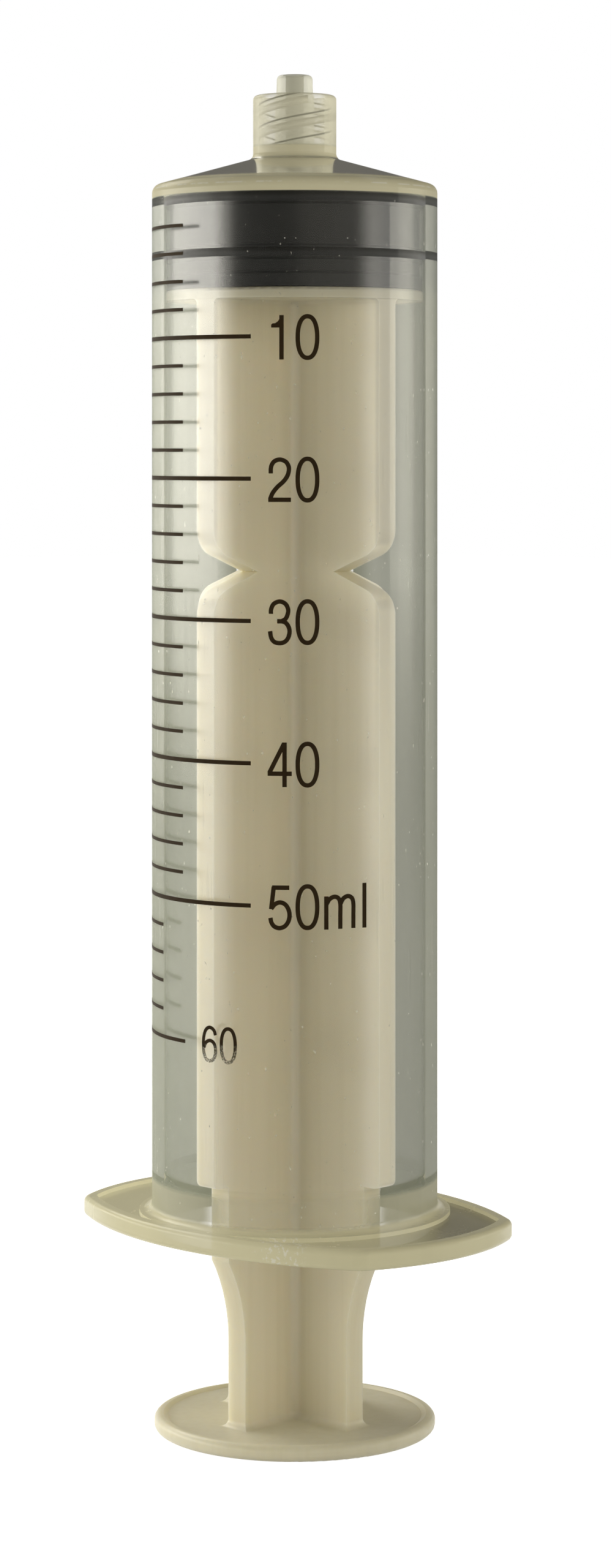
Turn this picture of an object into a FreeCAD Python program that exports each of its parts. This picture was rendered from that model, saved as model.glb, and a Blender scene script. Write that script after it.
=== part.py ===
"""Luer lock syringe of 50 ml, pushed fully in, standing on its thumb plate.

Three pieces: the moulded barrel, the rubber stopper and the plunger rod that carries it.
Z runs up the syringe from the underside of the thumb plate, and X along the finger flange.
Each piece is drawn from its own lower face and then stacked on the one that carries it.
"""
import FreeCAD
import Part
import Sketcher
import os

doc = FreeCAD.newDocument("syringe")

# Driving sizes, in mm and degrees
SIZES = {
    "bore_radius": 14.5,
    "tube_wall": 1.25,
    "bore_depth": 113.8,
    "shoulder_angle": 15.3,
    "shoulder_wall": 1.35,
    "rim_round": 1.0,
    "inner_corner_round": 0.5,
    "foot_round": 0.9,
    "mouth_chamfer": 0.45,
    "bead_height": 5.6,
    "bead_depth": 0.35,
    "bead_slope_length": 0.8,
    "flange_reach": 24.7,
    "flange_half_width": 18.0,
    "flange_side_radius": 41.5,
    "flange_thickness": 2.2,
    "flange_corner_round": 3.0,
    "flange_edge_round": 0.6,
    "recess_border": 1.4,
    "recess_depth": 0.45,
    "recess_gap": 0.5,
    "recess_corner_round": 1.6,
    "nose_floor": 1.5,
    "collar_radius": 4.6,
    "collar_wall": 0.55,
    "collar_depth": 5.6,
    "collar_foot_round": 0.7,
    "collar_lip_round": 0.5,
    "luer_tip_radius": 1.965,
    "luer_taper": 0.03,
    "luer_length": 7.85,
    "luer_lip_round": 0.5,
    "fluid_radius": 1.0,
    "seal_clearance": 0.06,
    "seal_height": 3.1,
    "seal_thickness": 1.15,
    "seal_slope": 0.25,
    "stopper_waist_radius": 13.75,
    "stopper_skirt_radius": 14.1,
    "stopper_skirt_height": 1.35,
    "stopper_length": 10.2,
    "stopper_crown_round": 0.4,
    "front_gap": 0.25,
    "socket_radius": 9.0,
    "socket_height": 5.0,
    "socket_mouth_radius": 6.6,
    "socket_lip": 2.4,
    "rod_clearance": 0.08,
    "rod_length": 125.35,
    "rod_turn": 1.0,
    "disc_radius": 14.2,
    "disc_thickness": 1.15,
    "disc_edge_round": 0.35,
    "disc_foot_round": 0.6,
    "rib_radius": 13.95,
    "rib_thickness": 2.6,
    "rib_root_round": 1.0,
    "notch_height": 94.6,
    "notch_radius": 7.2,
    "notch_slope": 21.0,
    "notch_shoulder_round": 3.0,
    "wide_rib_start": 28.2,
    "wide_rib_round": 0.8,
    "throat_radius": 11.7,
    "neck_radius": 9.15,
    "flare_start": 10.8,
    "flare_radius": 18.0,
    "plate_radius": 15.5,
    "plate_thickness": 1.5,
    "plate_rim_height": 1.75,
    "plate_rim_width": 1.0,
    "plate_rim_slope": 0.5,
    "plate_edge_round": 0.7,
    "rod_foot_round": 0.8,
    "cutter_margin": 3.0,
}

sheet = doc.addObject("Spreadsheet::Sheet", "Sizes")
for row, (alias, number) in enumerate(SIZES.items(), start=1):
    sheet.set("A%d" % row, alias)
    sheet.set("B%d" % row, str(number))
    sheet.setAlias("B%d" % row, alias)
doc.recompute()


def of(words):
    """An expression with each size's name written as the sheet's own."""
    parts = words.replace("(", "( ").replace(")", " )").split()
    return " ".join("Sizes." + part if part in SIZES else part for part in parts)


def number_of(words):
    """What an expression comes to now."""
    return float(sheet.evalExpression(of(words)))


def new_body(label):
    body = doc.addObject("PartDesign::Body", label)
    body.Label = label
    return body


def origin_plane(body, role):
    return next(item for item in body.Origin.OriginFeatures if item.Role == role)


def new_sketch(body, name, role="XZ_Plane", lift="0"):
    """An empty sketch on one of the body's own planes, lifted off it by an expression."""
    sketch = body.newObject("Sketcher::SketchObject", name)
    sketch.AttachmentSupport = [(origin_plane(body, role), "")]
    sketch.MapMode = "FlatFace"
    if lift != "0":
        sketch.setExpression(".AttachmentOffset.Base.z", of(lift))
    return sketch


def hold(sketch, kind, words, *items):
    """A sized constraint that follows an expression."""
    index = sketch.addConstraint(Sketcher.Constraint(kind, *items, number_of(words)))
    sketch.setExpression("Constraints[%d]" % index, of(words))


def hold_point(sketch, edge, end, across, up):
    """Place one point of a sketch by expressions; None leaves that way free."""
    for kind, words, axis in (("DistanceX", across, -2), ("DistanceY", up, -1)):
        if words == "0":
            sketch.addConstraint(Sketcher.Constraint("PointOnObject", edge, end, axis))
        elif words is not None:
            hold(sketch, kind, words, -1, 1, edge, end)


def outline(body, name, corners, arcs=None, role="XZ_Plane", lift="0"):
    """A closed outline through corners given as two expressions each.

    The edges are straight, but arcs names the centre of each edge that bends clockwise. The
    corner where such an arc ends keeps its distance across, and its height follows the arc.
    """
    sketch = new_sketch(body, name, role, lift)
    arcs = arcs or {}
    points = [(number_of(across), number_of(up)) for across, up in corners]
    count = len(corners)
    for edge, start in enumerate(points):
        finish = points[(edge + 1) % count]
        if edge in arcs:
            centre = tuple(number_of(words) for words in arcs[edge])
            sketch.addGeometry(arc_between(centre, finish, start))
            hold_point(sketch, edge, 3, *arcs[edge])
        else:
            sketch.addGeometry(Part.LineSegment(FreeCAD.Vector(*start, 0), FreeCAD.Vector(*finish, 0)))
    for edge in range(count):
        after = (edge + 1) % count
        here = 1 if edge in arcs else 2
        there = 2 if after in arcs else 1
        sketch.addConstraint(Sketcher.Constraint("Coincident", edge, here, after, there))
    for edge, (across, up) in enumerate(corners):
        follows_arc = edge - 1 in arcs
        hold_point(sketch, edge, 2 if edge in arcs else 1, across, None if follows_arc else up)
    return sketch


def arc_between(centre, start, finish):
    """The arc that runs anticlockwise about its centre from start to finish."""
    first, last = (FreeCAD.Vector(*point, 0) - FreeCAD.Vector(*centre, 0) for point in (start, finish))
    circle = Part.Circle(FreeCAD.Vector(*centre, 0), FreeCAD.Vector(0, 0, 1), first.Length)
    turn = FreeCAD.Vector(1, 0, 0)
    angles = [turn.getAngle(way) if way.y >= 0 else -turn.getAngle(way) for way in (first, last)]
    return Part.ArcOfCircle(circle, angles[0], angles[1])


def add_arc_loop(sketch, arcs):
    """A closed loop of arcs centred on the upright axis.

    Each arc is (height of its centre, radius, start point, True where it turns clockwise).
    """
    first = sketch.GeometryCount
    count = len(arcs)
    for step, (up, radius, start, clockwise) in enumerate(arcs):
        finish = arcs[(step + 1) % count][2]
        ends = (finish, start) if clockwise else (start, finish)
        sketch.addGeometry(arc_between((0, number_of(up)), *ends))
    for step, (up, radius, start, clockwise) in enumerate(arcs):
        hold_point(sketch, first + step, 3, "0", up)
        hold(sketch, "Radius", radius, first + step)
        follower = (step + 1) % count
        here = 1 if clockwise else 2
        there = 2 if arcs[follower][3] else 1
        sketch.addConstraint(Sketcher.Constraint("Coincident", first + step, here, first + follower, there))


def crossing(side_up, side_radius, end_radius):
    """Where a side arc centred on the V axis meets a round end centred on the origin, right of the axis."""
    drop, side, end = (number_of(words) for words in (side_up, side_radius, end_radius))
    up = (end ** 2 + drop ** 2 - side ** 2) / (2 * drop)
    return (end ** 2 - up ** 2) ** 0.5, up


def revolve(body, name, sketch, kind="Revolution"):
    """A full turn of a sketch about its own upright axis, added or cut away."""
    before = body.Shape.Volume if body.Tip else 0
    feature = body.newObject("PartDesign::" + kind, name)
    feature.Profile = sketch
    feature.ReferenceAxis = (sketch, ["V_Axis"])
    feature.Angle = 360
    doc.recompute()
    check_volume(body, name, before, kind == "Revolution")
    return feature


def extrude(body, name, sketch, length, kind="Pad", backward=False):
    """A straight pad or pocket of a sketch."""
    before = body.Shape.Volume if body.Tip else 0
    feature = body.newObject("PartDesign::" + kind, name)
    feature.Profile = sketch
    feature.Type = "Length"
    feature.Reversed = backward
    feature.setExpression("Length", of(length))
    doc.recompute()
    check_volume(body, name, before, kind == "Pad")
    return feature


def check_volume(body, name, before, grows):
    """A feature that points the wrong way changes nothing, so it is stopped here."""
    change = body.Shape.Volume - before
    if (change if grows else -change) < 0.01:
        raise RuntimeError("%s %s left the volume as it was" % (body.Label, name))


def round_edges(body, name, radius, chosen):
    """Round the edges that a test picks out of the body's present shape."""
    base = body.Tip
    edges = enumerate(base.Shape.Edges, start=1)
    names = ["Edge%d" % number for number, edge in edges if chosen(edge)]
    if not names:
        raise RuntimeError("%s %s found no edge" % (body.Label, name))
    feature = body.newObject("PartDesign::Fillet", name)
    feature.Base = (base, names)
    feature.setExpression("Radius", of(radius))
    doc.recompute()
    return feature


NEAR = 0.01


def is_ring(edge, radius, height):
    """A level circle about the axis, of this radius and at this height."""
    box = edge.BoundBox
    level = box.ZLength < NEAR and abs(box.ZMin - number_of(height)) < NEAR
    return level and edge.isClosed() and abs(box.XMax - number_of(radius)) < NEAR


def is_upright(edge):
    return edge.BoundBox.ZLength > NEAR and edge.BoundBox.XLength < NEAR and edge.BoundBox.YLength < NEAR


def reach_of(edge):
    """How far an edge's middle lies from the axis."""
    middle = edge.valueAt((edge.FirstParameter + edge.LastParameter) / 2)
    return (middle.x ** 2 + middle.y ** 2) ** 0.5


def height_of(edge):
    """The height of an edge's middle."""
    return edge.valueAt((edge.FirstParameter + edge.LastParameter) / 2).z


# Heights and radii that several pieces share
TUBE_RADIUS = "( bore_radius + tube_wall )"
SEAL_RADIUS = "( bore_radius - seal_clearance )"
NOSE_BASE = "( bore_depth + bore_radius * tan( shoulder_angle ) + nose_floor )"
COLLAR_TOP = "( " + NOSE_BASE + " + collar_depth )"
NOSE_TOP = "( " + NOSE_BASE + " + luer_length )"
STOPPER_BASE = "( rod_length + rod_clearance )"


def cone_inside(radius):
    """Height of the barrel's inner cone at a radius."""
    return "( bore_depth + ( bore_radius - %s ) * tan( shoulder_angle ) )" % radius


def cone_outside(radius):
    """Height of the barrel's outer cone at a radius."""
    return "( " + cone_inside(radius) + " + shoulder_wall )"


def luer_radius(height):
    """Radius of the male taper at a height; it grows from the tip down."""
    return "( luer_tip_radius + ( %s - %s ) * luer_taper )" % (NOSE_TOP, height)


def make_barrel():
    """One moulding: tube, finger flange, shoulder, male luer taper and its lock collar."""
    body = new_body("barrel")
    corners = [
        ("0", "0"),
        ("flange_reach", "0"),
        ("flange_reach", "flange_thickness"),
        (TUBE_RADIUS, "flange_thickness"),
        (TUBE_RADIUS, cone_outside(TUBE_RADIUS)),
        ("collar_radius", cone_outside("collar_radius")),
        ("collar_radius", COLLAR_TOP),
        (luer_radius(COLLAR_TOP), COLLAR_TOP),
        ("luer_tip_radius", NOSE_TOP),
        ("0", NOSE_TOP),
    ]
    revolve(body, "outer_form", outline(body, "outer_profile", corners))
    round_edges(body, "foot_round", "foot_round",
                lambda edge: is_ring(edge, TUBE_RADIUS, "flange_thickness"))
    round_edges(body, "rim_round", "rim_round",
                lambda edge: is_ring(edge, TUBE_RADIUS, cone_outside(TUBE_RADIUS)))
    round_edges(body, "collar_foot_round", "collar_foot_round",
                lambda edge: is_ring(edge, "collar_radius", cone_outside("collar_radius")))
    round_edges(body, "collar_lip_round", "collar_lip_round",
                lambda edge: is_ring(edge, "collar_radius", COLLAR_TOP))
    round_edges(body, "luer_lip_round", "luer_lip_round",
                lambda edge: is_ring(edge, "luer_tip_radius", NOSE_TOP))
    cut_flange_sides(body)
    cut_bore(body)
    cut_nose(body)
    cut_flange_recesses(body)
    height = "%s + stopper_length + front_gap - bore_depth" % STOPPER_BASE
    body.setExpression(".Placement.Base.z", of(height))
    return body


def cut_flange_sides(body):
    """Trim the round flange to two wings with gently bowed sides."""
    sketch = new_sketch(body, "flange_outline", "XY_Plane")
    sketch.addGeometry(Part.Circle(FreeCAD.Vector(0, 0, 0), FreeCAD.Vector(0, 0, 1),
                                   number_of("flange_reach + cutter_margin")))
    hold_point(sketch, 0, 3, "0", "0")
    hold(sketch, "Radius", "flange_reach + cutter_margin", 0)
    below = "flange_half_width - flange_side_radius"
    above = "flange_side_radius - flange_half_width"
    across, up = crossing(below, "flange_side_radius", "flange_reach")
    add_arc_loop(sketch, [
        ("0", "flange_reach", (across, -up), False),
        (below, "flange_side_radius", (across, up), False),
        ("0", "flange_reach", (-across, up), False),
        (above, "flange_side_radius", (-across, -up), False),
    ])
    extrude(body, "flange_sides", sketch, "flange_thickness + foot_round", "Pocket", backward=True)
    round_edges(body, "flange_corners", "flange_corner_round",
                lambda edge: is_upright(edge) and reach_of(edge) > number_of("flange_reach") - NEAR)
    rim = number_of("flange_thickness")
    round_edges(body, "flange_edges", "flange_edge_round",
                lambda edge: edge.BoundBox.ZLength < NEAR
                and reach_of(edge) > number_of("flange_half_width") - NEAR
                and (abs(height_of(edge)) < NEAR or abs(height_of(edge) - rim) < NEAR)
                and abs(reach_of(edge) - number_of(TUBE_RADIUS + " + foot_round")) > NEAR)


def cut_bore(body):
    """The smooth bore, its cone end, the bead that keeps the stopper in and the mouth."""
    narrow = "bore_radius - bead_depth"
    corners = [
        ("0", "0 - cutter_margin"),
        ("bore_radius + mouth_chamfer", "0 - cutter_margin"),
        ("bore_radius + mouth_chamfer", "0"),
        ("bore_radius", "mouth_chamfer"),
        ("bore_radius", "bead_height - bead_slope_length"),
        (narrow, "bead_height"),
        ("bore_radius", "bead_height + bead_slope_length"),
        ("bore_radius", "bore_depth"),
        ("0", cone_inside("0")),
    ]
    revolve(body, "bore", outline(body, "bore_profile", corners), "Groove")
    round_edges(body, "inner_corner_round", "inner_corner_round",
                lambda edge: is_ring(edge, "bore_radius", "bore_depth"))


def cut_nose(body):
    """The ring-shaped socket between taper and collar, then the fluid path through the taper."""
    inside = "( collar_radius - collar_wall )"
    above = COLLAR_TOP + " + cutter_margin"
    corners = [
        (luer_radius(NOSE_BASE), NOSE_BASE),
        (inside, NOSE_BASE),
        (inside, above),
        (luer_radius(above), above),
    ]
    top = NOSE_TOP + " + cutter_margin"
    revolve(body, "lock_socket", outline(body, "lock_socket_profile", corners), "Groove")
    path = [("0", "bore_depth"), ("fluid_radius", "bore_depth"), ("fluid_radius", top), ("0", top)]
    revolve(body, "fluid_path", outline(body, "fluid_path_profile", path), "Groove")


def cut_flange_recesses(body):
    """A shallow recess in the top of each wing leaves a raised border round the flange."""
    sketch = new_sketch(body, "recess_outline", "XY_Plane", "flange_thickness")
    end = "flange_reach - recess_border"
    side = "flange_side_radius - recess_border"
    inner = TUBE_RADIUS + " + foot_round + recess_gap"
    below = "flange_half_width - flange_side_radius"
    above = "flange_side_radius - flange_half_width"
    far = crossing(below, side, end)
    near = crossing(below, side, inner)
    add_arc_loop(sketch, [
        ("0", end, (far[0], -far[1]), False),
        (below, side, far, False),
        ("0", inner, near, True),
        (above, side, (near[0], -near[1]), False),
    ])
    recess = extrude(body, "wing_recess", sketch, "recess_depth", "Pocket")
    other = body.newObject("PartDesign::Mirrored", "other_wing_recess")
    other.Originals = [recess]
    other.MirrorPlane = (origin_plane(body, "YZ_Plane"), [""])
    body.Tip = other
    doc.recompute()
    outer = number_of("flange_reach - recess_border")
    round_edges(body, "recess_corner_round", "recess_corner_round",
                lambda edge: is_upright(edge) and abs(reach_of(edge) - outer) < NEAR)


def seal_ring(middle):
    """Corners of one seal ring, from its lower foot to its upper foot."""
    return [
        ("stopper_waist_radius", middle + " - seal_thickness / 2 - seal_slope"),
        (SEAL_RADIUS, middle + " - seal_thickness / 2"),
        (SEAL_RADIUS, middle + " + seal_thickness / 2"),
        ("stopper_waist_radius", middle + " + seal_thickness / 2 + seal_slope"),
    ]


def make_stopper():
    """The rubber stopper: skirt, two seal rings, cone to suit the shoulder, socket for the rod."""
    body = new_body("stopper")
    crown = "stopper_length - seal_thickness - seal_slope"
    corners = [
        ("0", "0"),
        ("stopper_skirt_radius", "0"),
        ("stopper_skirt_radius", "stopper_skirt_height"),
        ("stopper_waist_radius", "stopper_skirt_height + seal_slope"),
        *seal_ring("seal_height + seal_thickness / 2"),
        ("stopper_waist_radius", crown),
        (SEAL_RADIUS, crown + " + seal_slope"),
        (SEAL_RADIUS, "stopper_length"),
        ("0", "stopper_length + %s * tan( shoulder_angle )" % SEAL_RADIUS),
    ]
    revolve(body, "outer_form", outline(body, "outer_profile", corners))
    round_edges(body, "crown_round", "stopper_crown_round",
                lambda edge: is_ring(edge, SEAL_RADIUS, "stopper_length"))
    ceiling = "( socket_lip + socket_height )"
    socket = [
        ("0", "0 - cutter_margin"),
        ("socket_mouth_radius", "0 - cutter_margin"),
        ("socket_mouth_radius", "socket_lip"),
        ("socket_radius", "socket_lip"),
        ("socket_radius", ceiling),
        ("0", ceiling + " + socket_radius * tan( shoulder_angle )"),
    ]
    revolve(body, "rod_socket", outline(body, "socket_profile", socket), "Groove")
    body.setExpression(".Placement.Base.z", of(STOPPER_BASE))
    return body


def make_plunger_rod():
    """One moulding: thumb plate, four waisted ribs, pushing disc and the head in the stopper."""
    body = new_body("plunger_rod")
    disc_base = "( rod_length - disc_thickness )"
    extrude(body, "ribs", rib_cross(body), disc_base + " + disc_thickness / 2")
    root = number_of("rib_thickness")
    round_edges(body, "rib_root_round", "rib_root_round",
                lambda edge: is_upright(edge) and reach_of(edge) < root)
    trim_ribs(body)
    plate = [
        ("0", "0"),
        ("plate_radius", "0"),
        ("plate_radius", "plate_rim_height"),
        ("plate_radius - plate_rim_width", "plate_rim_height"),
        ("plate_radius - plate_rim_width - plate_rim_slope", "plate_thickness"),
        ("0", "plate_thickness"),
    ]
    revolve(body, "thumb_plate", outline(body, "plate_profile", plate))
    rim = ("0", "plate_rim_height")
    round_edges(body, "plate_edge_round", "plate_edge_round",
                lambda edge: any(is_ring(edge, "plate_radius", height) for height in rim))
    round_edges(body, "rod_foot_round", "rod_foot_round",
                lambda edge: is_rib_joint(edge, "plate_thickness", "neck_radius"))
    add_disc_and_head(body, disc_base)
    body.setExpression(".Placement.Rotation.Angle", "Sizes.rod_turn * 1 deg")
    return body


def rib_cross(body):
    """The cross-shaped section of the ribs, longer than they are so that the trimming shapes them."""
    near = "( rib_thickness / 2 )"
    far = "( rib_radius + cutter_margin )"
    corners = []
    for turn in range(4):
        for across, up in (((1, near), (1, near)), ((1, near), (1, far)), ((-1, near), (1, far))):
            for step in range(turn):
                across, up = (-up[0], up[1]), across
            corners.append(tuple(words if sign > 0 else "0 - " + words for sign, words in (across, up)))
    return outline(body, "rib_section", corners, role="XY_Plane")


def trim_ribs(body):
    """Cut the ribs to their side view: narrow neck, flare, wide part and the notched waist."""
    outside = "rib_radius + 2 * cutter_margin"
    rise = "( rib_radius - notch_radius ) * tan( notch_slope )"
    bend = ("neck_radius + flare_radius", "flare_start")
    reach = "( neck_radius + flare_radius - throat_radius )"
    corners = [
        (outside, "rod_length"),
        (outside, "0 - cutter_margin"),
        ("neck_radius", "0 - cutter_margin"),
        ("neck_radius", "flare_start"),
        ("throat_radius", "flare_start + sqrt( flare_radius ^ 2 - %s ^ 2 )" % reach),
        ("throat_radius", "wide_rib_start"),
        ("rib_radius", "wide_rib_start"),
        ("rib_radius", "notch_height - " + rise),
        ("notch_radius", "notch_height"),
        ("rib_radius", "notch_height + " + rise),
        ("rib_radius", "rod_length"),
    ]
    revolve(body, "rib_side_view", outline(body, "rib_side_outline", corners, {3: bend}), "Groove")
    shoulders = [number_of("notch_height %s %s" % (sign, rise)) for sign in "+-"]
    round_edges(body, "notch_shoulder_round", "notch_shoulder_round",
                lambda edge: is_rib_tip(edge, shoulders))
    round_edges(body, "wide_rib_round", "wide_rib_round",
                lambda edge: is_rib_tip(edge, [number_of("wide_rib_start")]))


def is_rib_tip(edge, heights):
    """A short level edge across a rib's outer face at one of these heights."""
    level = edge.BoundBox.ZLength < NEAR and any(abs(height_of(edge) - height) < NEAR for height in heights)
    return level and abs(reach_of(edge) - number_of("rib_radius")) < NEAR


def is_rib_joint(edge, height, radius):
    """A level edge where a rib meets a flat face, on the rib's side or round its tip."""
    level = edge.BoundBox.ZLength < NEAR and abs(height_of(edge) - number_of(height)) < NEAR
    return level and not edge.isClosed() and reach_of(edge) < number_of(radius) + NEAR


def add_disc_and_head(body, disc_base):
    """The disc that pushes the stopper, with the stem and head that fill the stopper's socket."""
    seat = "( rod_length + rod_clearance )"
    stem = "socket_mouth_radius - rod_clearance"
    head = "( socket_radius - rod_clearance )"
    underside = seat + " + socket_lip + rod_clearance"
    shoulder = seat + " + socket_lip + socket_height - rod_clearance"
    corners = [
        ("0", disc_base),
        ("disc_radius", disc_base),
        ("disc_radius", "rod_length"),
        (stem, "rod_length"),
        (stem, underside),
        (head, underside),
        (head, shoulder),
        ("0", "%s + %s * tan( shoulder_angle )" % (shoulder, head)),
    ]
    revolve(body, "disc_and_head", outline(body, "disc_profile", corners))
    round_edges(body, "disc_edge_round", "disc_edge_round",
                lambda edge: is_ring(edge, "disc_radius", "rod_length"))
    round_edges(body, "disc_foot_round", "disc_foot_round",
                lambda edge: is_rib_joint(edge, disc_base, "rib_radius - rib_root_round"))


def check(pieces):
    """Stop before writing if anything in the document or any finished piece is faulty."""
    doc.recompute()
    faults = [item.Name for item in doc.Objects if "Invalid" in item.State or "Error" in item.State]
    faults += [piece.Label for piece in pieces if piece.Shape.isNull() or not piece.Shape.isValid()]
    faults += [piece.Label for piece in pieces if len(piece.Shape.Solids) != 1]
    if faults:
        raise RuntimeError("faulty: " + ", ".join(faults))


pieces = [make_plunger_rod(), make_stopper(), make_barrel()]
check(pieces)
os.makedirs("parts", exist_ok=True)
for piece in pieces:
    piece.Shape.exportStep("parts/%s.step" % piece.Label)
    box = piece.Shape.BoundBox
    print("%s %.1f mm3, z %.2f to %.2f" % (piece.Label, piece.Shape.Volume, box.ZMin, box.ZMax))
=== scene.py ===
"""Luer lock syringe: looks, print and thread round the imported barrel, stopper and plunger rod.

Lengths are written in millimetres and turned into metres where a mesh is made.
"""
import math

import bpy
import numpy as np
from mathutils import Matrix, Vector


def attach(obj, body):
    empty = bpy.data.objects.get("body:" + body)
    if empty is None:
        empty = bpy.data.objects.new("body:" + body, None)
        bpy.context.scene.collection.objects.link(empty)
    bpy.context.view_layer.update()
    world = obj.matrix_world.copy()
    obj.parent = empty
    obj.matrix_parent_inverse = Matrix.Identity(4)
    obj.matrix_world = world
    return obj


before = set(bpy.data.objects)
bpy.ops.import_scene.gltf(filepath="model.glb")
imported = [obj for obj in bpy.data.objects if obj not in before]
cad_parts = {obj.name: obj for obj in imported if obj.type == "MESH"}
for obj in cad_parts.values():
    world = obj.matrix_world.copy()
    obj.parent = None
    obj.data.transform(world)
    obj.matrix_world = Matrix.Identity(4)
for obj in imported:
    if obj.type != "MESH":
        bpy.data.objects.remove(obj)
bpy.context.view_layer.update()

MM = 0.001
PHOTO_SIZE = (998, 2560)

# The barrel's own sizes, as its solid has them
TUBE_RADIUS = 15.75
BORE_RADIUS = 14.5
FLANGE_TOP = 24.28
BORE_END = 135.88
RIM_FOOT = 135.52
FROST_TOP = 27.9
CONE_TOP = 139.94
COLLAR_FLOOR = 141.35
COLLAR_INSIDE = 4.05
THREAD_LEAD = 5.0
CONE_SLOPE = math.tan(math.radians(15.3))

# Where the plastic was let into the mould, on the flange's front edge
GATE = (13.0, -14.6)

# The clear plastic bends light this much, and where it is milky this share of the light passes on
PLASTIC_IOR = 1.46
GLOW_SHARE = 0.36

# The seam line round the barrel's rim
SEAM_HEIGHT = 136.5

# Heights over which the painted shade on the pushing disc's edge and on the ribs' ends comes in
DISC_PAINTED_SHADE = (123.9, 124.2)
RIB_PAINTED_SHADE = (70.0, 105.0)

# Foot and top of the squeezed faces of the stopper's two seal rings
TOP_SEAL = (134.52, 135.58)
LOW_SEAL = (128.57, 129.63)

# The photograph's camera stands level, 45 degrees round from the flange's short side
CAMERA_TURN = math.radians(45)
CAMERA_AWAY = 430.4
CAMERA_HEIGHT = 108.56
FOCUS_PIXELS = 6365.0
MIDDLE_PIXEL = (481.4, 724.0)
TO_CAMERA = np.array([math.sin(CAMERA_TURN), -math.cos(CAMERA_TURN), 0.0])
TO_RIGHT = np.array([math.cos(CAMERA_TURN), math.sin(CAMERA_TURN), 0.0])
UP = np.array([0.0, 0.0, 1.0])


# ---------------------------------------------------------------- shader words
class Value:
    """A node socket that takes part in sums, so that a formula reads as one."""

    def __init__(self, paint, socket):
        self.paint = paint
        self.socket = socket

    def _math(self, operation, *others):
        return self.paint.node("ShaderNodeMath", {"operation": operation}, self, *others)

    def __add__(self, other):
        return self._math("ADD", other)

    def __radd__(self, other):
        return self._math("ADD", other)

    def __sub__(self, other):
        return self._math("SUBTRACT", other)

    def __rsub__(self, other):
        return self.paint.node("ShaderNodeMath", {"operation": "SUBTRACT"}, other, self)

    def __mul__(self, other):
        return self._math("MULTIPLY", other)

    def __rmul__(self, other):
        return self._math("MULTIPLY", other)

    def __truediv__(self, other):
        return self._math("DIVIDE", other)

    def __pow__(self, other):
        return self._math("POWER", other)

    def step(self, low, high):
        """0 below low, 1 above high and smooth between them; low above high turns it round."""
        given = {"interpolation_type": "SMOOTHSTEP"}
        ends = {"Value": self, "From Min": low, "From Max": high}
        return self.paint.node("ShaderNodeMapRange", given, ends)

    def clamp(self):
        return self.paint.node("ShaderNodeClamp", {}, {"Value": self})


CAMERA_RAY, SHADOW_RAY, DIFFUSE_RAY, GLOSSY_RAY, TRANSMISSION_RAY = 0, 1, 2, 3, 6


class Paint:
    """One material, or the world, and the nodes behind it."""

    def __init__(self, name, shelf=bpy.data.materials, output="ShaderNodeOutputMaterial", place="Object"):
        self.holder = shelf.new(name)
        self.holder.use_nodes = True
        self.tree = self.holder.node_tree
        self.tree.nodes.clear()
        self.output = self.tree.nodes.new(output)
        where = self.tree.nodes.new("ShaderNodeTexCoord").outputs[place]
        self.where = Value(self, where)
        parts = self.tree.nodes.new("ShaderNodeSeparateXYZ")
        self.tree.links.new(where, parts.inputs[0])
        self.x, self.y, self.z = (Value(self, parts.outputs[k]) / MM for k in range(3))
        self.radius = (self.x ** 2 + self.y ** 2) ** 0.5

    def node(self, kind, settings, *values, out=0):
        """A node of that kind: its settings, then values or links by place or by a dict of sockets."""
        made = self.tree.nodes.new(kind)
        for key, setting in settings.items():
            setattr(made, key, setting)
        pairs = []
        for place, value in enumerate(values):
            pairs += list(value.items()) if isinstance(value, dict) else [(place, value)]
        for key, value in pairs:
            socket = made.inputs[key]
            if isinstance(value, Value):
                self.tree.links.new(value.socket, socket)
            elif isinstance(value, tuple) and len(value) == 3 and socket.type == "RGBA":
                socket.default_value = (*value, 1.0)
            else:
                socket.default_value = value
        return Value(self, made.outputs[out])

    def blend(self, amount, first, second):
        """The colour first, going over to second as amount goes from 0 to 1."""
        return self.node("ShaderNodeMix", {"data_type": "RGBA"}, {0: amount, 6: first, 7: second}, out=2)

    def noise(self, size, stretch=(1, 1, 1), detail=2.0, seed=0.0):
        """Soft noise whose cells are about size mm, drawn out by stretch along X, Y and Z."""
        scale = tuple(1 / (MM * size * s) for s in stretch)
        spot = {"Vector": self.where, "Location": (seed,) * 3, "Scale": scale}
        placed = self.node("ShaderNodeMapping", {}, spot)
        given = {"Vector": placed, "Scale": 1.0, "Detail": detail, "Roughness": 0.5}
        return self.node("ShaderNodeTexNoise", {}, given)

    def facing(self):
        """0 where the surface faces the eye and 1 at its edge."""
        return self.node("ShaderNodeLayerWeight", {}, {"Blend": 0.5}, out=1)

    def bump(self, height, strength, distance):
        given = {"Height": height, "Strength": strength, "Distance": distance * MM}
        return self.node("ShaderNodeBump", {}, given)

    def mix_shader(self, amount, first, second):
        return self.node("ShaderNodeMixShader", {}, amount, first, second)

    def light_path(self, ray):
        """1 for that kind of ray and 0 for every other."""
        return self.node("ShaderNodeLightPath", {}, out=ray)

    def finish(self, shader):
        self.tree.links.new(shader.socket, self.output.inputs["Surface"])
        return self.holder


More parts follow.
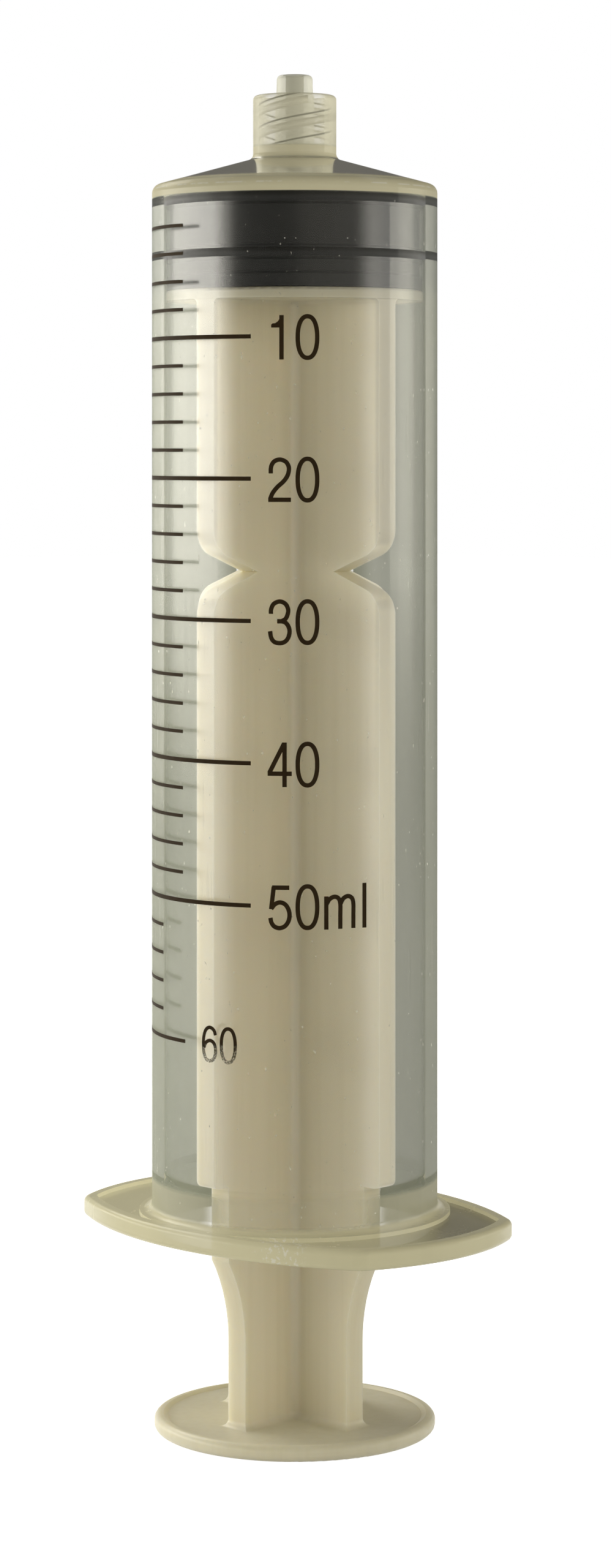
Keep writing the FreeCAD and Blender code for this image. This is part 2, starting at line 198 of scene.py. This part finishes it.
# ---------------------------------------------------------------- materials
def clear_plastic():
    """Milky clear moulding: thin walls show what is behind them, thick ones and edges go cream."""
    p = Paint("clear_plastic")
    z, r = p.z, p.radius
    facing = p.facing()

    inside_cone = (z - (BORE_RADIUS - r) * CONE_SLOPE).step(BORE_END + 0.7, BORE_END + 0.3)
    bore = r.step(15.2, 14.95) * inside_cone
    flange = z.step(FLANGE_TOP + 0.9, FLANGE_TOP + 0.1)
    flange = flange * (1 - bore)
    nose = z.step(CONE_TOP - 0.15, CONE_TOP + 0.15)
    column = nose * z.step(COLLAR_FLOOR + 0.2, COLLAR_FLOOR - 0.2)
    collar = nose * (1 - column)
    taper = collar * r.step(3.2, 2.9)
    above_bore = (1 - bore) * (1 - nose) * z.step(RIM_FOOT - 0.06, RIM_FOOT + 0.06)
    rim = above_bore * r.step(14.2, 15.2)
    cone = above_bore * (1 - r.step(14.2, 15.2))
    tube = (1 - bore) * (1 - flange) * z.step(RIM_FOOT + 0.06, RIM_FOOT - 0.06)

    haze = p.noise(6.0, (1, 1, 3.5), detail=3.0)
    fine = p.noise(0.35, (1, 1, 6.0), detail=2.0, seed=3.1)
    drag = p.noise(0.5, (1, 1, 40.0), detail=1.0, seed=5.3)
    specks = p.noise(0.42, (1, 1, 1.8), detail=1.0, seed=9.7).step(0.755, 0.80) * (tube + bore)
    turn = p.node("ShaderNodeMath", {"operation": "ARCTAN2"}, p.y, p.x)
    climb = (z - COLLAR_FLOOR - turn * (THREAD_LEAD / (2 * math.pi))) / (THREAD_LEAD / 2)
    climb = p.node("ShaderNodeMath", {"operation": "FRACT"}, climb)
    thread = collar * r.step(3.45, 3.6) * r.step(4.3, 4.15) * climb.step(0.40, 0.44) * climb.step(0.52, 0.48)

    milky = p.blend(haze, (0.33, 0.36, 0.29), (0.40, 0.425, 0.34))
    cream = p.blend(haze, (0.74, 0.70, 0.50), (0.80, 0.76, 0.56))
    roof = bore * (z + (r - BORE_RADIUS) * CONE_SLOPE).step(BORE_END - 0.3, BORE_END - 0.1)
    frost = tube * z.step(FROST_TOP + 0.5, FROST_TOP - 0.4)
    channel_painted_shade = taper * r.step(1.4, 1.2)
    colour = p.blend(bore, milky, p.blend(haze, (0.25, 0.275, 0.22), (0.30, 0.325, 0.26)))
    colour = p.blend((flange + rim + column + roof).clamp(), colour, cream)
    colour = p.blend(frost, colour, (0.52, 0.52, 0.41))
    colour = p.blend(cone, colour, p.blend(r.step(12.5, 13.6), (0.20, 0.18, 0.12), (0.84, 0.80, 0.60)))
    colour = p.blend(collar, colour, (0.80, 0.78, 0.62))
    colour = p.blend(taper, colour, (0.86, 0.86, 0.72))
    # Painted shade: near-black lines along the thread's flanks and down the tip's channel
    colour = p.blend((thread + channel_painted_shade).clamp(), colour, (0.10, 0.10, 0.075))
    colour = p.blend(flange, colour, p.blend(haze, (0.76, 0.73, 0.52), (0.84, 0.81, 0.59)))
    upward = p.node("ShaderNodeSeparateXYZ", {}, p.node("ShaderNodeTexCoord", {}, out=1), out=2)
    # Painted shade: the flange's top recess is coloured darker towards its right wing
    recess = flange * upward.step(0.85, 0.95) * z.step(FLANGE_TOP - 0.25, FLANGE_TOP - 0.40)
    across = p.x * float(TO_RIGHT[0]) + p.y * float(TO_RIGHT[1])
    recess_painted_shade = p.blend(across.step(11.0, 17.0), (0.74, 0.71, 0.50), (0.38, 0.36, 0.25))
    colour = p.blend(recess, colour, recess_painted_shade)
    from_gate = ((p.x - GATE[0]) ** 2 + (p.y - GATE[1]) ** 2) ** 0.5
    gate = flange * from_gate.step(3.6, 2.2) * p.noise(0.45, detail=3.0, seed=2.9).step(0.54, 0.64)
    seam = rim * z.step(SEAM_HEIGHT - 0.12, SEAM_HEIGHT - 0.04)
    seam = seam * z.step(SEAM_HEIGHT + 0.12, SEAM_HEIGHT + 0.04)
    seam = seam * p.noise(1.6, detail=3.0, seed=4.8).step(0.46, 0.58)
    colour = p.blend((specks + gate * 0.8 + seam * 0.6).clamp(), colour, (0.93, 0.92, 0.84))

    eye, through = p.light_path(CAMERA_RAY), p.light_path(TRANSMISSION_RAY)
    lighting = (p.light_path(SHADOW_RAY) + p.light_path(DIFFUSE_RAY)).clamp()
    far_wall = p.node("ShaderNodeFresnel", {}, {"IOR": 0.45})
    far_wall = ((far_wall - 0.15) / 0.6).clamp()
    near_bore = bore * (1 - far_wall)
    seen = (
        tube * (0.012 + 0.12 * facing.step(0.52, 0.66))
        + frost * (0.20 + 0.76 * facing.step(0.10, 0.26))
        + bore * (0.008 + 0.96 * far_wall)
        + near_bore * (0.36 * facing.step(0.26, 0.62) + 0.95 * through)
        + roof * 0.92
        + flange * 0.94
        + rim * 0.95
        + cone * (0.30 + 0.65 * facing.step(0.45, 0.75))
        + column * 0.92
        + (collar - taper) * (0.34 + 0.50 * facing.step(0.2, 0.6))
        + taper * 0.60
        + channel_painted_shade * 0.18
        + thread * 0.66
        + specks * 0.45
    ).clamp()
    seen = seen * (1 - 0.95 * lighting)

    rough = 0.16 + 0.10 * haze + 0.08 * drag - 0.13 * cone
    height = 0.5 * fine + drag + 2.0 * gate
    normal = p.bump(height, 0.10, 0.02)
    body = p.node("ShaderNodeBsdfPrincipled", {}, {
        "Base Color": colour, "Roughness": 0.5, "Specular IOR Level": 0.0, "Normal": normal})
    soft_glow = p.node("ShaderNodeBsdfTranslucent", {}, {"Color": colour, "Normal": normal})
    milk = p.mix_shader(GLOW_SHARE, body, soft_glow)
    straight = p.node("ShaderNodeBsdfTransparent", {}, {"Color": (1.0, 1.0, 1.0)})
    bent = p.node("ShaderNodeBsdfRefraction", {}, {
        "Color": (1.0, 1.0, 1.0), "Roughness": 0.0, "IOR": PLASTIC_IOR})
    clear = p.mix_shader(eye * tube * facing.step(0.585, 0.615), straight, bent)
    wall = p.mix_shader(seen, clear, milk)
    gloss = p.node("ShaderNodeBsdfGlossy", {}, {
        "Color": (1.0, 1.0, 1.0), "Roughness": rough, "Normal": normal})
    above_bead = z.step(FROST_TOP - 0.4, FROST_TOP + 1.0)
    shine = (
        0.007
        + 0.05 * facing * (1 - bore)
        + 0.080 * near_bore * above_bead * facing.step(0.10, 0.21)
        + 0.24 * flange * facing.step(0.5, 0.95)
        + 0.80 * cone * facing.step(0.55, 0.80) * r.step(13.8, 13.0)
    )
    shine = shine * (1 - 0.9 * lighting)
    return p.finish(p.mix_shader(shine, wall, gloss))


def cream_plastic():
    """Warm white moulded plastic with a satin face and faint flow lines.

    The edge of the pushing disc and the upper ends of the ribs carry painted shade.
    """
    p = Paint("cream_plastic")
    cloud = p.noise(9.0, (1, 1, 3), detail=3.0)
    flow = p.noise(0.9, (1, 1, 60.0), detail=2.0, seed=1.7)
    grain = p.noise(0.12, detail=2.0, seed=4.4)
    colour = p.blend(cloud, (0.735, 0.69, 0.535), (0.785, 0.745, 0.60))
    colour = p.blend(flow.step(0.35, 0.75) * 0.35, colour, (0.69, 0.645, 0.48))
    # Painted shade: the pushing disc's edge is coloured darker
    disc_edge_painted_shade = p.z.step(*DISC_PAINTED_SHADE) * p.radius.step(12.8, 13.6)
    colour = p.blend(disc_edge_painted_shade, colour, (0.50, 0.475, 0.37))
    # Painted shade: the ribs' upper ends are coloured darker
    rib_end_painted_shade = p.radius.step(13.2, 13.7) * p.z.step(*RIB_PAINTED_SHADE) * (1 - disc_edge_painted_shade)
    colour = p.blend(rib_end_painted_shade, colour, (0.55, 0.52, 0.41))
    rough = 0.30 + 0.16 * cloud + 0.08 * grain
    normal = p.bump(flow + 0.25 * grain, 0.12, 0.03)
    return p.finish(p.node("ShaderNodeBsdfPrincipled", {}, {
        "Base Color": colour, "Roughness": rough, "Specular IOR Level": 0.5, "Normal": normal,
        "Subsurface Weight": 0.6, "Subsurface Radius": (1.0, 0.88, 0.6), "Subsurface Scale": 0.0025}))


def black_rubber():
    """Black rubber with a cloudy sheen, a fine grain and a little pale dust."""
    p = Paint("black_rubber")
    cloud = p.noise(5.0, detail=3.0)
    grain = p.noise(0.2, detail=3.0, seed=2.2)
    dust = p.noise(0.5, detail=2.0, seed=8.8).step(0.70, 0.78) * 0.12
    colour = p.blend(cloud, (0.009, 0.009, 0.0085), (0.013, 0.013, 0.012))
    colour = p.blend(dust, colour, (0.30, 0.29, 0.26))
    rough = 0.36 + 0.2 * cloud
    normal = p.bump(grain, 0.05, 0.02)
    return p.finish(p.node("ShaderNodeBsdfPrincipled", {}, {
        "Base Color": colour, "Roughness": rough, "Specular IOR Level": 0.12, "Normal": normal}))


def scale_ink():
    """Brown-black ink, a little thin in places and rubbed over the lower half of the lowest number."""
    p = Paint("scale_ink")
    cloud = p.noise(1.1, detail=3.0)
    colour = p.blend(cloud, (0.020, 0.012, 0.005), (0.040, 0.026, 0.012))
    across = p.x * float(TO_RIGHT[0]) + p.y * float(TO_RIGHT[1])
    lowest = across.step(-10.6, -9.9) * across.step(-5.4, -5.9)
    rubbed = lowest * p.z.step(44.5, 43.9)
    scratch = p.noise(0.16, (1, 1, 0.8), detail=3.0, seed=6.1).step(0.40, 0.62)
    fade = p.z.step(44.4, 42.2)
    kept = 1 - rubbed * (0.35 + 0.35 * fade + 0.5 * (scratch - 0.5)).clamp()
    thin = p.noise(0.25, detail=2.0, seed=7.7).step(0.74, 0.82) * 0.35
    alpha = (kept - thin).clamp()
    return p.finish(p.node("ShaderNodeBsdfPrincipled", {}, {
        "Base Color": colour, "Roughness": 0.55, "Specular IOR Level": 0.04, "Alpha": alpha}))


def floor_white():
    """White floor that is plain white to the eye and still darkens where the object shades it."""
    p = Paint("floor_white")
    eye, in_gloss, through = (p.light_path(ray) for ray in (CAMERA_RAY, GLOSSY_RAY, TRANSMISSION_RAY))
    clear_view = eye + in_gloss + through * (1 - p.light_path(DIFFUSE_RAY))
    matt = p.node("ShaderNodeBsdfDiffuse", {}, {"Color": (0.80, 0.80, 0.79)})
    glow = p.node("ShaderNodeEmission", {}, {"Color": (1.0, 1.0, 1.0), "Strength": 0.92})
    seen = p.node("ShaderNodeMixShader", {}, {0: clear_view.clamp(), 2: glow})
    return p.finish(p.node("ShaderNodeAddShader", {}, matt, seen))


# ---------------------------------------------------------------- mesh makers
def add_piece(name, points, faces, body, material, slot, smooth=True):
    """A mesh piece from points in mm, riding on a body."""
    mesh = bpy.data.meshes.new(name)
    mesh.from_pydata((np.asarray(points) * MM).tolist(), [], faces)
    mesh.update()
    mesh.polygons.foreach_set("use_smooth", np.full(len(mesh.polygons), smooth))
    piece = bpy.data.objects.new(name, mesh)
    bpy.context.scene.collection.objects.link(piece)
    mesh.materials.append(material)
    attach(piece, body)
    return piece


def grid_faces(rows, columns, wrap_rows=False, wrap_columns=False):
    """Quads of a grid of rows by columns whose points are numbered row by row."""
    i = np.arange(rows if wrap_rows else rows - 1)
    j = np.arange(columns if wrap_columns else columns - 1)
    i, j = (a.ravel() for a in np.meshgrid(i, j, indexing="ij"))
    here, below, right = i * columns, (i + 1) % rows * columns, (j + 1) % columns
    return np.stack([here + j, here + right, below + right, below + j], axis=1).tolist()


def on_tube(across, height, radius):
    """Points at arc length across from the line that faces the camera, at that height and radius."""
    turn = np.asarray(across) / TUBE_RADIUS
    ring = np.cos(turn)[..., None] * TO_CAMERA + np.sin(turn)[..., None] * TO_RIGHT
    return ring * np.asarray(radius)[..., None] + np.asarray(height)[..., None] * UP


def smooth_path(corners, per_span=8):
    """A curve through the corners.

    Each span is a cubic whose end slopes are half the step between the neighbours.
    """
    c = np.asarray(corners, float)
    if len(c) < 3:
        return c
    padded = np.vstack([2 * c[0] - c[1], c, 2 * c[-1] - c[-2]])
    t = np.linspace(0, 1, per_span, endpoint=False)[:, None]
    p0, p1, p2, p3 = (padded[k:len(padded) - 3 + k, None, :] for k in range(4))
    square = 2 * p0 - 5 * p1 + 4 * p2 - p3
    cube = 3 * p1 - p0 - 3 * p2 + p3
    spans = 0.5 * (2 * p1 + (p2 - p0) * t + square * t ** 2 + cube * t ** 3)
    return np.vstack([spans.reshape(-1, 2), c[-1]])


INK_LOW, INK_HIGH = -0.02, 0.014


def ribbon(path, width, closed=False):
    """A line of ink: the path, half a width to each side, from just inside the wall to just above it."""
    p = np.asarray(path, float)
    if closed:
        along = np.roll(p, -1, axis=0) - np.roll(p, 1, axis=0)
    else:
        along = np.gradient(p, axis=0)
    along /= np.linalg.norm(along, axis=1)[:, None]
    side = np.stack([-along[:, 1], along[:, 0]], axis=1) * width / 2
    ring = []
    for sign, lift in ((-1, INK_LOW), (1, INK_LOW), (1, INK_HIGH), (-1, INK_HIGH)):
        flat = p + sign * side
        ring.append(on_tube(flat[:, 0], flat[:, 1], np.full(len(p), TUBE_RADIUS + lift)))
    points = np.stack(ring, axis=1).reshape(-1, 3)
    faces = grid_faces(len(p), 4, wrap_rows=closed, wrap_columns=True)
    if not closed:
        last = 4 * (len(p) - 1)
        faces += [[3, 2, 1, 0], [last, last + 1, last + 2, last + 3]]
    return points, faces


def plate(outline):
    """A filled patch of ink with that outline."""
    o = np.asarray(outline, float)
    n = len(o)
    low, high = (on_tube(o[:, 0], o[:, 1], np.full(n, TUBE_RADIUS + lift)) for lift in (INK_LOW, INK_HIGH))
    faces = grid_faces(2, n, wrap_columns=True)
    faces += [list(range(n - 1, -1, -1)), list(range(n, 2 * n))]
    return np.vstack([low, high]), faces


def join(parts):
    """Several (points, faces) as one."""
    points, faces, first = [], [], 0
    for some, polygons in parts:
        points.append(some)
        faces += [[k + first for k in polygon] for polygon in polygons]
        first += len(some)
    return np.vstack(points), faces


# ---------------------------------------------------------------- print
INK_WIDTH = 0.475
ML = 1.5162
ZERO_LINE = 135.13


def oval(left, foot, width, height, bulge=2.25):
    """A closed oval: |x/a|^bulge + |y/b|^bulge = 1, drawn by its angle."""
    t = np.linspace(0, 2 * np.pi, 48, endpoint=False)
    c, s = np.cos(t), np.sin(t)
    a, b = (width - INK_WIDTH) / 2, (height - INK_WIDTH) / 2
    x = np.sign(c) * np.abs(c) ** (2 / bulge) * a + left + width / 2
    y = np.sign(s) * np.abs(s) ** (2 / bulge) * b + foot + height / 2
    return np.stack([x, y], axis=1)


STROKES = {
    "1": [("line", [(1.47, 0.0), (1.47, 4.73)])],
    "2": [
        ("curve", [(0.32, 3.04), (0.32, 3.50), (0.41, 3.92), (0.70, 4.33), (1.28, 4.52), (1.88, 4.32),
                   (2.20, 3.88), (2.26, 3.40), (2.10, 2.80), (1.68, 2.19), (1.05, 1.62), (0.56, 1.02),
                   (0.32, 0.50), (0.27, 0.24)]),
        ("line", [(0.04, 0.24), (2.48, 0.24)])],
    "3": [
        ("curve", [(0.33, 3.26), (0.36, 3.76), (0.64, 4.32), (1.27, 4.58), (1.88, 4.34), (2.17, 3.78),
                   (2.13, 3.24), (1.90, 2.74), (1.52, 2.50)]),
        ("line", [(1.00, 2.48), (1.62, 2.48)]),
        ("curve", [(1.52, 2.48), (1.90, 2.33), (2.21, 1.93), (2.33, 1.37), (2.18, 0.72), (1.81, 0.29),
                   (1.27, 0.15), (0.69, 0.29), (0.36, 0.74), (0.24, 1.42)])],
    "4": [
        ("line", [(1.795, 0.0), (1.795, 4.75)]),
        ("line", [(-0.02, 1.42), (2.57, 1.42)]),
        ("line", [(1.76, 4.66), (0.16, 1.50)])],
    "5": [
        ("line", [(0.46, 4.46), (2.30, 4.46)]),
        ("line", [(0.64, 4.55), (0.36, 2.16)]),
        ("curve", [(0.36, 2.20), (0.76, 2.68), (1.29, 2.89), (1.84, 2.70), (2.21, 2.16), (2.33, 1.52),
                   (2.21, 0.90), (1.84, 0.38), (1.29, 0.16), (0.72, 0.31), (0.39, 0.74), (0.28, 1.24)])],
    "6": [
        ("curve", [(2.28, 3.62), (2.03, 4.26), (1.36, 4.60), (0.72, 4.24), (0.38, 3.40), (0.29, 2.35),
                   (0.38, 1.20), (0.74, 0.42), (1.33, 0.17), (1.93, 0.42), (2.26, 1.10), (2.26, 1.98),
                   (1.96, 2.62), (1.36, 2.86), (0.74, 2.56), (0.40, 1.90)])],
    "m": [
        ("line", [(0.25, -0.04), (0.25, 3.50)]),
        ("curve", [(0.30, 2.70), (0.62, 3.20), (1.16, 3.44), (1.62, 3.22), (1.80, 2.62), (1.80, 1.50),
                   (1.80, 0.0)]),
        ("curve", [(1.84, 2.70), (2.14, 3.22), (2.66, 3.46), (3.13, 3.22), (3.30, 2.60), (3.30, 1.50),
                   (3.30, 0.02)])],
    "l": [("line", [(0.0, 0.0), (0.0, 4.78)])],
}
FLAG_OF_ONE = [(0.365, 3.40), (0.365, 3.72), (0.49, 3.85), (0.79, 3.87), (1.09, 4.09), (1.33, 4.45),
               (1.43, 4.73), (1.68, 4.73), (1.68, 3.40)]


def glyph(mark, left, foot, size=1.0):
    """The ink of one number or letter, whose lower left corner is at left, foot."""
    place = np.array([left, foot])
    width = INK_WIDTH * size
    if mark == "0":
        return [ribbon(oval(0, -0.06, 2.56, 4.9) * size + place, width, closed=True)]
    made = []
    for kind, corners in STROKES[mark]:
        corners = np.asarray(corners) * size + place
        if kind == "line":
            steps = np.linspace(0, 1, 7)[:, None]
            path = corners[0] * (1 - steps) + corners[1] * steps
        else:
            path = smooth_path(corners)
        made.append(ribbon(path, width))
    if mark == "1":
        made.append(plate(np.asarray(FLAG_OF_ONE)[::-1] * size + place))
    return made


def tick(height, start, end, width):
    steps = np.linspace(start, end, 40)
    return ribbon(np.stack([steps, np.full(40, height)], axis=1), width)


def draw_scale(ink):
    """The printed scale: a line every 2 ml, a long one every 10 ml, and the numbers."""
    # Lines start out of sight behind the tube. A number stands with its foot below its line.
    behind, below = -26.4, 2.48
    last_below, last_size = 1.86, 0.81
    lines, numbers = [], []
    for ml in range(2, 61, 2):
        height = ZERO_LINE - ML * ml
        if ml % 10 == 0 and ml < 60:
            lines.append(tick(height, behind, -4.76, 0.45))
        elif ml < 50:
            lines.append(tick(height, behind, -13.75, 0.37))
        elif ml < 60:
            lines.append(tick(height, behind, -17.9, 0.37))
        else:
            lines.append(tick(height, behind, -13.35, 0.40))
    for ml in (10, 20, 30, 40, 50):
        foot = ZERO_LINE - ML * ml - below
        numbers += glyph(str(ml // 10), -2.88, foot)
        numbers += glyph("0", 0.08, foot)
    foot = ZERO_LINE - ML * 50 - below
    numbers += glyph("m", 3.14, foot)
    numbers += glyph("l", 7.76, foot)
    foot = ZERO_LINE - ML * 60 - last_below
    numbers += glyph("6", -10.81, foot, last_size)
    numbers += glyph("0", -8.42, foot, last_size)
    add_piece("scale_lines", *join(lines), "barrel", ink, "clear_plastic", smooth=False)
    add_piece("scale_numbers", *join(numbers), "barrel", ink, "clear_plastic", smooth=False)


# ---------------------------------------------------------------- lock thread
def lock_thread(plastic):
    """Two ribs that climb the inside of the collar: a four-sided profile carried along a helix.

    A point at turn t stands at height start + lead * t / 2 pi, and each rib fades into the wall at its ends.
    """
    lead, turns = THREAD_LEAD, 0.86
    root, crest = COLLAR_INSIDE + 0.05, 3.62
    t = np.linspace(0, turns * 2 * np.pi, 120)
    rise = np.clip(np.minimum(t, t[-1] - t) / 0.35, 0, 1)
    rise = rise * rise * (3 - 2 * rise)
    deep = root - (root - crest) * (0.08 + 0.92 * rise)
    base = COLLAR_FLOOR + 0.62
    parts = []
    for start in (0.0, np.pi):
        turn = t + start + CAMERA_TURN - 0.33
        height = base + lead * t / (2 * np.pi)
        ring = []
        for radius, lift in ((root, -0.44), (root, 0.44), (deep, 0.2), (deep, -0.2)):
            r = np.broadcast_to(radius, t.shape)
            ring.append(np.stack([r * np.cos(turn), r * np.sin(turn), height + lift], axis=1))
        points = np.stack(ring, axis=1).reshape(-1, 3)
        faces = grid_faces(len(t), 4, wrap_columns=True)
        last = 4 * (len(t) - 1)
        faces += [[3, 2, 1, 0], [last, last + 1, last + 2, last + 3]]
        parts.append((points, [face[::-1] for face in faces]))
    return add_piece("lock_thread", *join(parts), "barrel", plastic, "clear_plastic")


# ---------------------------------------------------------------- seal contact
def seal_band(name, low, high, rubber):
    """The squeezed face of a seal ring, pressed flat on the bore: a ring of rectangular section."""
    count = 192
    inner, outer, ease = 14.2, 14.53, 0.08
    t = np.linspace(0, 2 * np.pi, count, endpoint=False)
    ring = []
    for radius, height in ((inner, low), (inner, high), (outer, high - ease), (outer, low + ease)):
        ring.append(np.stack([radius * np.cos(t), radius * np.sin(t), np.full(count, height)], axis=1))
    points = np.stack(ring, axis=1).reshape(-1, 3)
    faces = [face[::-1] for face in grid_faces(count, 4, wrap_rows=True, wrap_columns=True)]
    return add_piece(name, points, faces, "stopper", rubber, "black_rubber")


# ---------------------------------------------------------------- build
clear = clear_plastic()
cream = cream_plastic()
rubber = black_rubber()
ink = scale_ink()
for node, material in (("barrel", clear), ("stopper", rubber), ("plunger_rod", cream)):
    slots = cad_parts[node].material_slots
    for place in range(len(slots)):
        slots[place].material = material

draw_scale(ink)
lock_thread(clear)
seal_band("seal_band_top", *TOP_SEAL, rubber)
seal_band("seal_band_low", *LOW_SEAL, rubber)


# ---------------------------------------------------------------- studio
def add_light(name, side, away, height, size, power, colour, aim=(0, 0, 80)):
    """A soft box at that angle round from the camera, to the right if positive, aimed at the syringe."""
    turn = math.radians(side)
    spot = (math.cos(turn) * TO_CAMERA + math.sin(turn) * TO_RIGHT) * away + height * UP
    lamp = bpy.data.lights.new(name, "AREA")
    lamp.shape = "RECTANGLE"
    lamp.size, lamp.size_y = (side_length * MM for side_length in size)
    lamp.energy = power
    lamp.color = colour
    holder = bpy.data.objects.new(name, lamp)
    bpy.context.scene.collection.objects.link(holder)
    holder.location = Vector(spot) * MM
    look = Vector(aim) * MM - holder.location
    holder.rotation_euler = look.to_track_quat("-Z", "Y").to_euler()
    return holder


def set_world():
    """Plain white to the eye, and to gloss and clear walls up to just over the horizon.

    Above that, and as a light, it is dim and warm.
    """
    p = Paint("studio", bpy.data.worlds, "ShaderNodeOutputWorld", "Generated")
    eye, in_gloss, through = (p.light_path(ray) for ray in (CAMERA_RAY, GLOSSY_RAY, TRANSMISSION_RAY))
    clear_view = in_gloss + through * (1 - p.light_path(DIFFUSE_RAY))
    backdrop = clear_view.clamp() * (p.z * MM).step(0.16, 0.08)
    white = p.node("ShaderNodeBackground", {}, (1.0, 1.0, 1.0), 1.0)
    dim = p.node("ShaderNodeBackground", {}, (1.0, 0.96, 0.84), 0.15)
    bpy.context.scene.world = p.finish(p.mix_shader((eye + backdrop).clamp(), dim, white))


def set_camera():
    """The photograph's camera: level, with the frame shifted down the syringe."""
    lens = bpy.data.cameras.new("camera")
    long_side = max(PHOTO_SIZE)
    lens.sensor_width = 36.0
    lens.lens = FOCUS_PIXELS / long_side * lens.sensor_width
    lens.shift_x = (PHOTO_SIZE[0] / 2 - MIDDLE_PIXEL[0]) / long_side
    lens.shift_y = (MIDDLE_PIXEL[1] - PHOTO_SIZE[1] / 2) / long_side
    lens.clip_start, lens.clip_end = 0.01, 100.0
    camera = bpy.data.objects.new("camera", lens)
    bpy.context.scene.collection.objects.link(camera)
    camera.location = Vector(TO_CAMERA * CAMERA_AWAY + UP * CAMERA_HEIGHT) * MM
    camera.rotation_euler = Vector(-TO_CAMERA).to_track_quat("-Z", "Y").to_euler()
    bpy.context.scene.camera = camera


def add_floor():
    size, drop = 2500.0, -0.05
    points = [(-size, -size, drop), (size, -size, drop), (size, size, drop), (-size, size, drop)]
    mesh = bpy.data.meshes.new("floor")
    mesh.from_pydata((np.asarray(points) * MM).tolist(), [], [[0, 1, 2, 3]])
    floor = bpy.data.objects.new("floor", mesh)
    bpy.context.scene.collection.objects.link(floor)
    mesh.materials.append(floor_white())


set_world()
set_camera()
add_floor()
add_light("key", -100, 520, 140, (680, 170), 1.8, (1.0, 0.97, 0.87))
add_light("side_fill", 108, 560, 135, (340, 150), 0.46, (1.0, 0.965, 0.83))
add_light("front_fill", 43, 900, 250, (1500, 800), 4.3, (1.0, 0.95, 0.81))
add_light("left_fill", -57, 800, 110, (240, 190), 0.60, (1.0, 0.96, 0.84))
add_light("upper_left", -140, 450, 390, (300, 220), 1.1, (1.0, 0.97, 0.88), aim=(0, 0, 10))

bpy.context.scene.view_settings.view_transform = "Standard"
